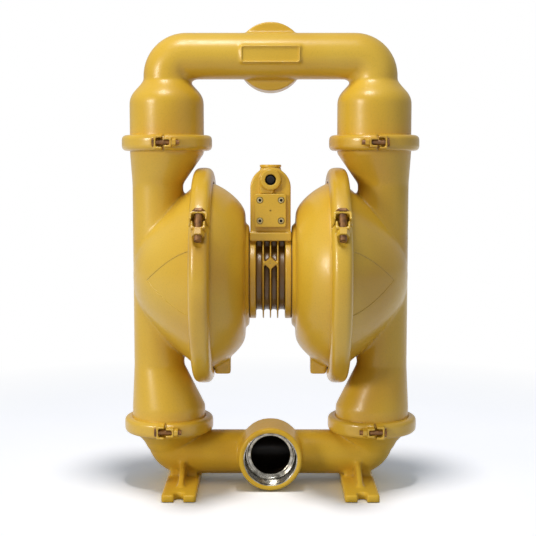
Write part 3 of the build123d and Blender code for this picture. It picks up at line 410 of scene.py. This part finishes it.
def threadRing(name, mount, facing, finish):
    # bored and tapped ring: going round (angle a) and in (depth d), the radius is the crest, less the taper,
    # plus the thread depth times a triangle wave of d / pitch - a / turn, faded out at both ends
    t = dict(threads, endR=threads["crestR"] - threads["length"] * threads["taper"])
    last = t["length"] - t["runOut"]
    a = np.linspace(0, 2 * np.pi, t["turnSteps"], endpoint=False)
    d = np.linspace(t["mouth"], last, int(t["length"] / t["pitch"] * t["pitchSteps"]))
    phase = d[None, :] / t["pitch"] - a[:, None] / (2 * np.pi)
    wave = 2 * np.abs(phase - np.round(phase))
    fade = np.clip((d - t["mouth"]) / t["pitch"], 0, 1) * np.clip((last - d) / t["pitch"], 0, 1)
    threadR = t["crestR"] - (d - t["mouth"]) * t["taper"] + t["depth"] * wave * fade[None, :]
    before = [(t[key] + step, deep) for key, step, deep in t["lip"]]
    after = [(t[key] + step, t["length"] + deep) for key, step, deep in t["shoulder"]]
    ones = np.ones((len(a), 1))
    radius = np.concatenate([ones * [r for r, _ in before], threadR, ones * [r for r, _ in after]], 1) * mm
    depth = np.concatenate([ones * [x for _, x in before], ones * d, ones * [x for _, x in after]], 1) * mm
    points = np.stack([radius * np.cos(a)[:, None], facing * (t["faceY"] * mm - depth),
                       mount[2] + radius * np.sin(a)[:, None]], -1)
    return gridPiece(name, points, finish)


cutMetal = workedMetal("bare cut pipe thread", "#BDB8AC", "#6E6A60", rough=0.2, lineMm=1.2, stretch=(1, 6, 1))
threadRing("inletThread", inletAxis, -1, cutMetal)
threadRing("outletThread", outletAxis, 1, cutMetal)

badge = {"width": 102.0, "height": 30.0, "inset": 2.0, "corner": 4.0, "beadR": 1.3, "y": -42.0,
         "cornerSteps": 9, "beadSteps": 12}


def badgeRim():
    # bead carried round a rounded rectangle: the path is the rectangle pushed out to its corner circles,
    # and the bead is a circle across the path
    r = badge["corner"]
    halfW, halfH = badge["width"] / 2 - badge["inset"], badge["height"] / 2 - badge["inset"]
    quarter = np.linspace(0, np.pi / 2, badge["cornerSteps"])
    centres = [(halfW - r, halfH - r), (r - halfW, halfH - r), (r - halfW, r - halfH), (halfW - r, r - halfH)]
    arcs = []
    for quarterTurn, (x, z) in enumerate(centres):
        cos, sin = np.cos(quarter + quarterTurn * np.pi / 2), np.sin(quarter + quarterTurn * np.pi / 2)
        arcs.append(np.stack([x + r * cos, z + r * sin, cos, sin], -1))
    path = np.concatenate(arcs)
    turn = np.linspace(0, 2 * np.pi, badge["beadSteps"], endpoint=False)
    out = badge["beadR"] * np.cos(turn)[None, :]
    x = path[:, :1] + path[:, 2:3] * out
    z = path[:, 1:2] + path[:, 3:4] * out
    y = badge["y"] - badge["beadR"] * np.sin(turn)[None, :] + 0 * x
    return gridPiece("badgeRim", np.stack([x, y, z + outletAxis[2] / mm], -1) * mm, bandPaint)


badgeRim()

disc = {"x": 115.8, "thick": 5.0, "inR": 9.5, "pistonR": 94.0, "gripR": 149.5, "outR": 163.5, "fold": 11.0,
        "rings": 48, "turnSteps": 96}


def rubberDisc(side):
    # moulded diaphragm: a flat disc whose skin rolls out by a sine squared between piston and clamped rim;
    # out along the outer face and back along the inner one
    sign = -1 if side == "left" else 1
    r = np.linspace(disc["inR"], disc["outR"], disc["rings"])
    roll = np.clip((r - disc["pistonR"]) / (disc["gripR"] - disc["pistonR"]), 0, 1)
    lift = disc["fold"] * np.sin(np.pi * roll) ** 2
    x = np.concatenate([disc["x"] + disc["thick"] / 2 + lift, (disc["x"] - disc["thick"] / 2 + lift)[::-1]])
    radius = np.concatenate([r, r[::-1]])
    a = np.linspace(0, 2 * np.pi, disc["turnSteps"], endpoint=False)[:, None]
    z = shaftPlace[2] / mm + radius * np.sin(a)
    points = np.stack([sign * x + 0 * a, radius * np.cos(a), z], -1) * mm
    piece = gridPiece(f"rubberDisc_{side}", points, finishes["rubber"], None)
    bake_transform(piece)
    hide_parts(f"diaphragm_{side}")


for side in sides:
    rubberDisc(side)
print("threads, badge rim and diaphragms made")

middle = (0, 0, 0.4)
lamps = {
    "keySoftbox": {"place": (-2.3, -2.1, 1.25), "aim": middle, "size": 1.0, "power": 44, "tint": "#FFF9F0"},
    "fillCard": {"place": (2.6, -2.2, 1.2), "aim": middle, "size": 2.2, "power": 1.5, "tint": "#FFFFFF"},
    "topBank": {"place": (-0.35, -0.85, 2.7), "aim": middle, "size": 0.9, "power": 32, "tint": "#FFFFFF"},
    "floorBank": {"place": (0.0, -0.25, 2.6), "aim": (0, 0, 0), "size": 0.5, "power": 34, "tint": "#FFEEDA"},
}
world = {"ambient": 0.26, "glossShare": 0.35}
stage = {"size": 24, "mottle": 2.0, "chalk": [(0.3, "#D3E0F4"), (0.7, "#D8E4F7")], "roughness": 0.8,
         "specular": 0.2, "gain": 1.22, "fadeFrom": 0.4, "fadeTo": 1.3}
view = {"place": (0.0, -1.972, 0.5634), "aim": (-0.0044, 0.0, 0.379), "lensMm": 75.9, "sensorMm": 36,
        "clipEnd": 50}


def turnTowards(place, aim):
    return (Vector(aim) - Vector(place)).to_track_quat("-Z", "Y").to_euler()


def addLamp(name, place, aim, size, power, tint):
    lamp = bpy.data.lights.new(name, "AREA")
    lamp.shape = "DISK"
    lamp.size = size
    lamp.energy = power
    lamp.color = linearColour(tint)[:3]
    holder = bpy.data.objects.new(name, lamp)
    holder.location = place
    holder.rotation_euler = turnTowards(place, aim)
    bpy.context.scene.collection.objects.link(holder)
    return holder


def addSeen(tree, glossShare):
    # 1 for a ray from the camera or through glass, glossShare for a reflected one and 0 for bounced light
    addNode(tree, "ray", "LightPath")
    addNode(tree, "gloss", "Math", {0: "ray:Is Glossy Ray", 1: glossShare}, operation="MULTIPLY")
    addNode(tree, "seenOrGloss", "Math", {0: "ray:Is Camera Ray", 1: "gloss:0"}, operation="MAXIMUM")
    addNode(tree, "seen", "Math", {0: "seenOrGloss:0", 1: "ray:Is Transmission Ray"}, operation="MAXIMUM")


holders = {name: addLamp(name, **plan) for name, plan in lamps.items()}

bpy.context.scene.world = bpy.data.worlds.new("white studio")
bpy.context.scene.world.use_nodes = True
tree = bpy.context.scene.world.node_tree
addSeen(tree, world["glossShare"])
addNode(tree, "level", "MapRange", {"Value": "seen:0", "To Min": world["ambient"], "To Max": 1.0})
wire(tree, tree.nodes["Background"], {"Color": "#FFFFFF", "Strength": "level:0"})

bpy.ops.mesh.primitive_plane_add(size=stage["size"], location=(0, 0, 0))
floor = bpy.context.object
floor.name = "studioFloor"
floorPaint, tree = newMaterial("matt white studio floor")
addSeen(tree, 1.0)
addNode(tree, "mottle", "TexNoise", {"Vector": "place:Object", "Scale": stage["mottle"]})
addNode(tree, "chalk", "ValToRGB", {"Fac": "mottle:Fac"}, stage["chalk"])
wire(tree, tree.nodes["shader"], {"Base Color": "chalk:Color", "Roughness": stage["roughness"],
                                  "Specular IOR Level": stage["specular"]})
# seen directly, the floor is brightened as a whole, so that it reads white and its shadow stays
addNode(tree, "lifted", "AddShader", {0: "shader:0", 1: "shader:0"})
addNode(tree, "gain", "Math", {0: "seen:0", 1: stage["gain"]}, operation="MULTIPLY")
addNode(tree, "seenFloor", "MixShader", {0: "gain:0", 1: "shader:0", 2: "lifted:0"})
# away from the pump it fades into plain white
addNode(tree, "reach", "VectorMath", {0: "place:Object"}, operation="LENGTH")
addNode(tree, "far", "MapRange", {"Value": "reach:Value", "From Min": stage["fadeFrom"],
                                  "From Max": stage["fadeTo"], "To Min": 0.0, "To Max": 1.0})
addNode(tree, "white", "Emission", {"Color": "#FFFFFF", "Strength": 1.0})
addNode(tree, "share", "Math", {0: "far:0", 1: "seen:0"}, operation="MULTIPLY")
addNode(tree, "blendWhite", "MixShader", {0: "share:0", 1: "seenFloor:0", 2: "white:0"})
wire(tree, tree.nodes["Material Output"], {"Surface": "blendWhite:0"})
floor.data.materials.append(floorPaint)

# the floor has its own lamp from overhead, so that its shadow lies under the pump
linked = {"notFloor": "EXCLUDE", "onlyFloor": "INCLUDE"}
for name, state in linked.items():
    group = bpy.data.collections.new(name)
    group.objects.link(floor)
    group.collection_objects[0].light_linking.link_state = state
for name, holder in holders.items():
    receivers = "onlyFloor" if name == "floorBank" else "notFloor"
    holder.light_linking.receiver_collection = bpy.data.collections[receivers]

cameraData = bpy.data.cameras.new("productCamera")
cameraData.lens = view["lensMm"]
cameraData.sensor_width = view["sensorMm"]
cameraData.clip_end = view["clipEnd"]
camera = bpy.data.objects.new("productCamera", cameraData)
camera.location = view["place"]
camera.rotation_euler = turnTowards(view["place"], view["aim"])
bpy.context.scene.collection.objects.link(camera)
bpy.context.scene.camera = camera
bpy.context.scene.view_settings.view_transform = "Standard"
print("studio set")
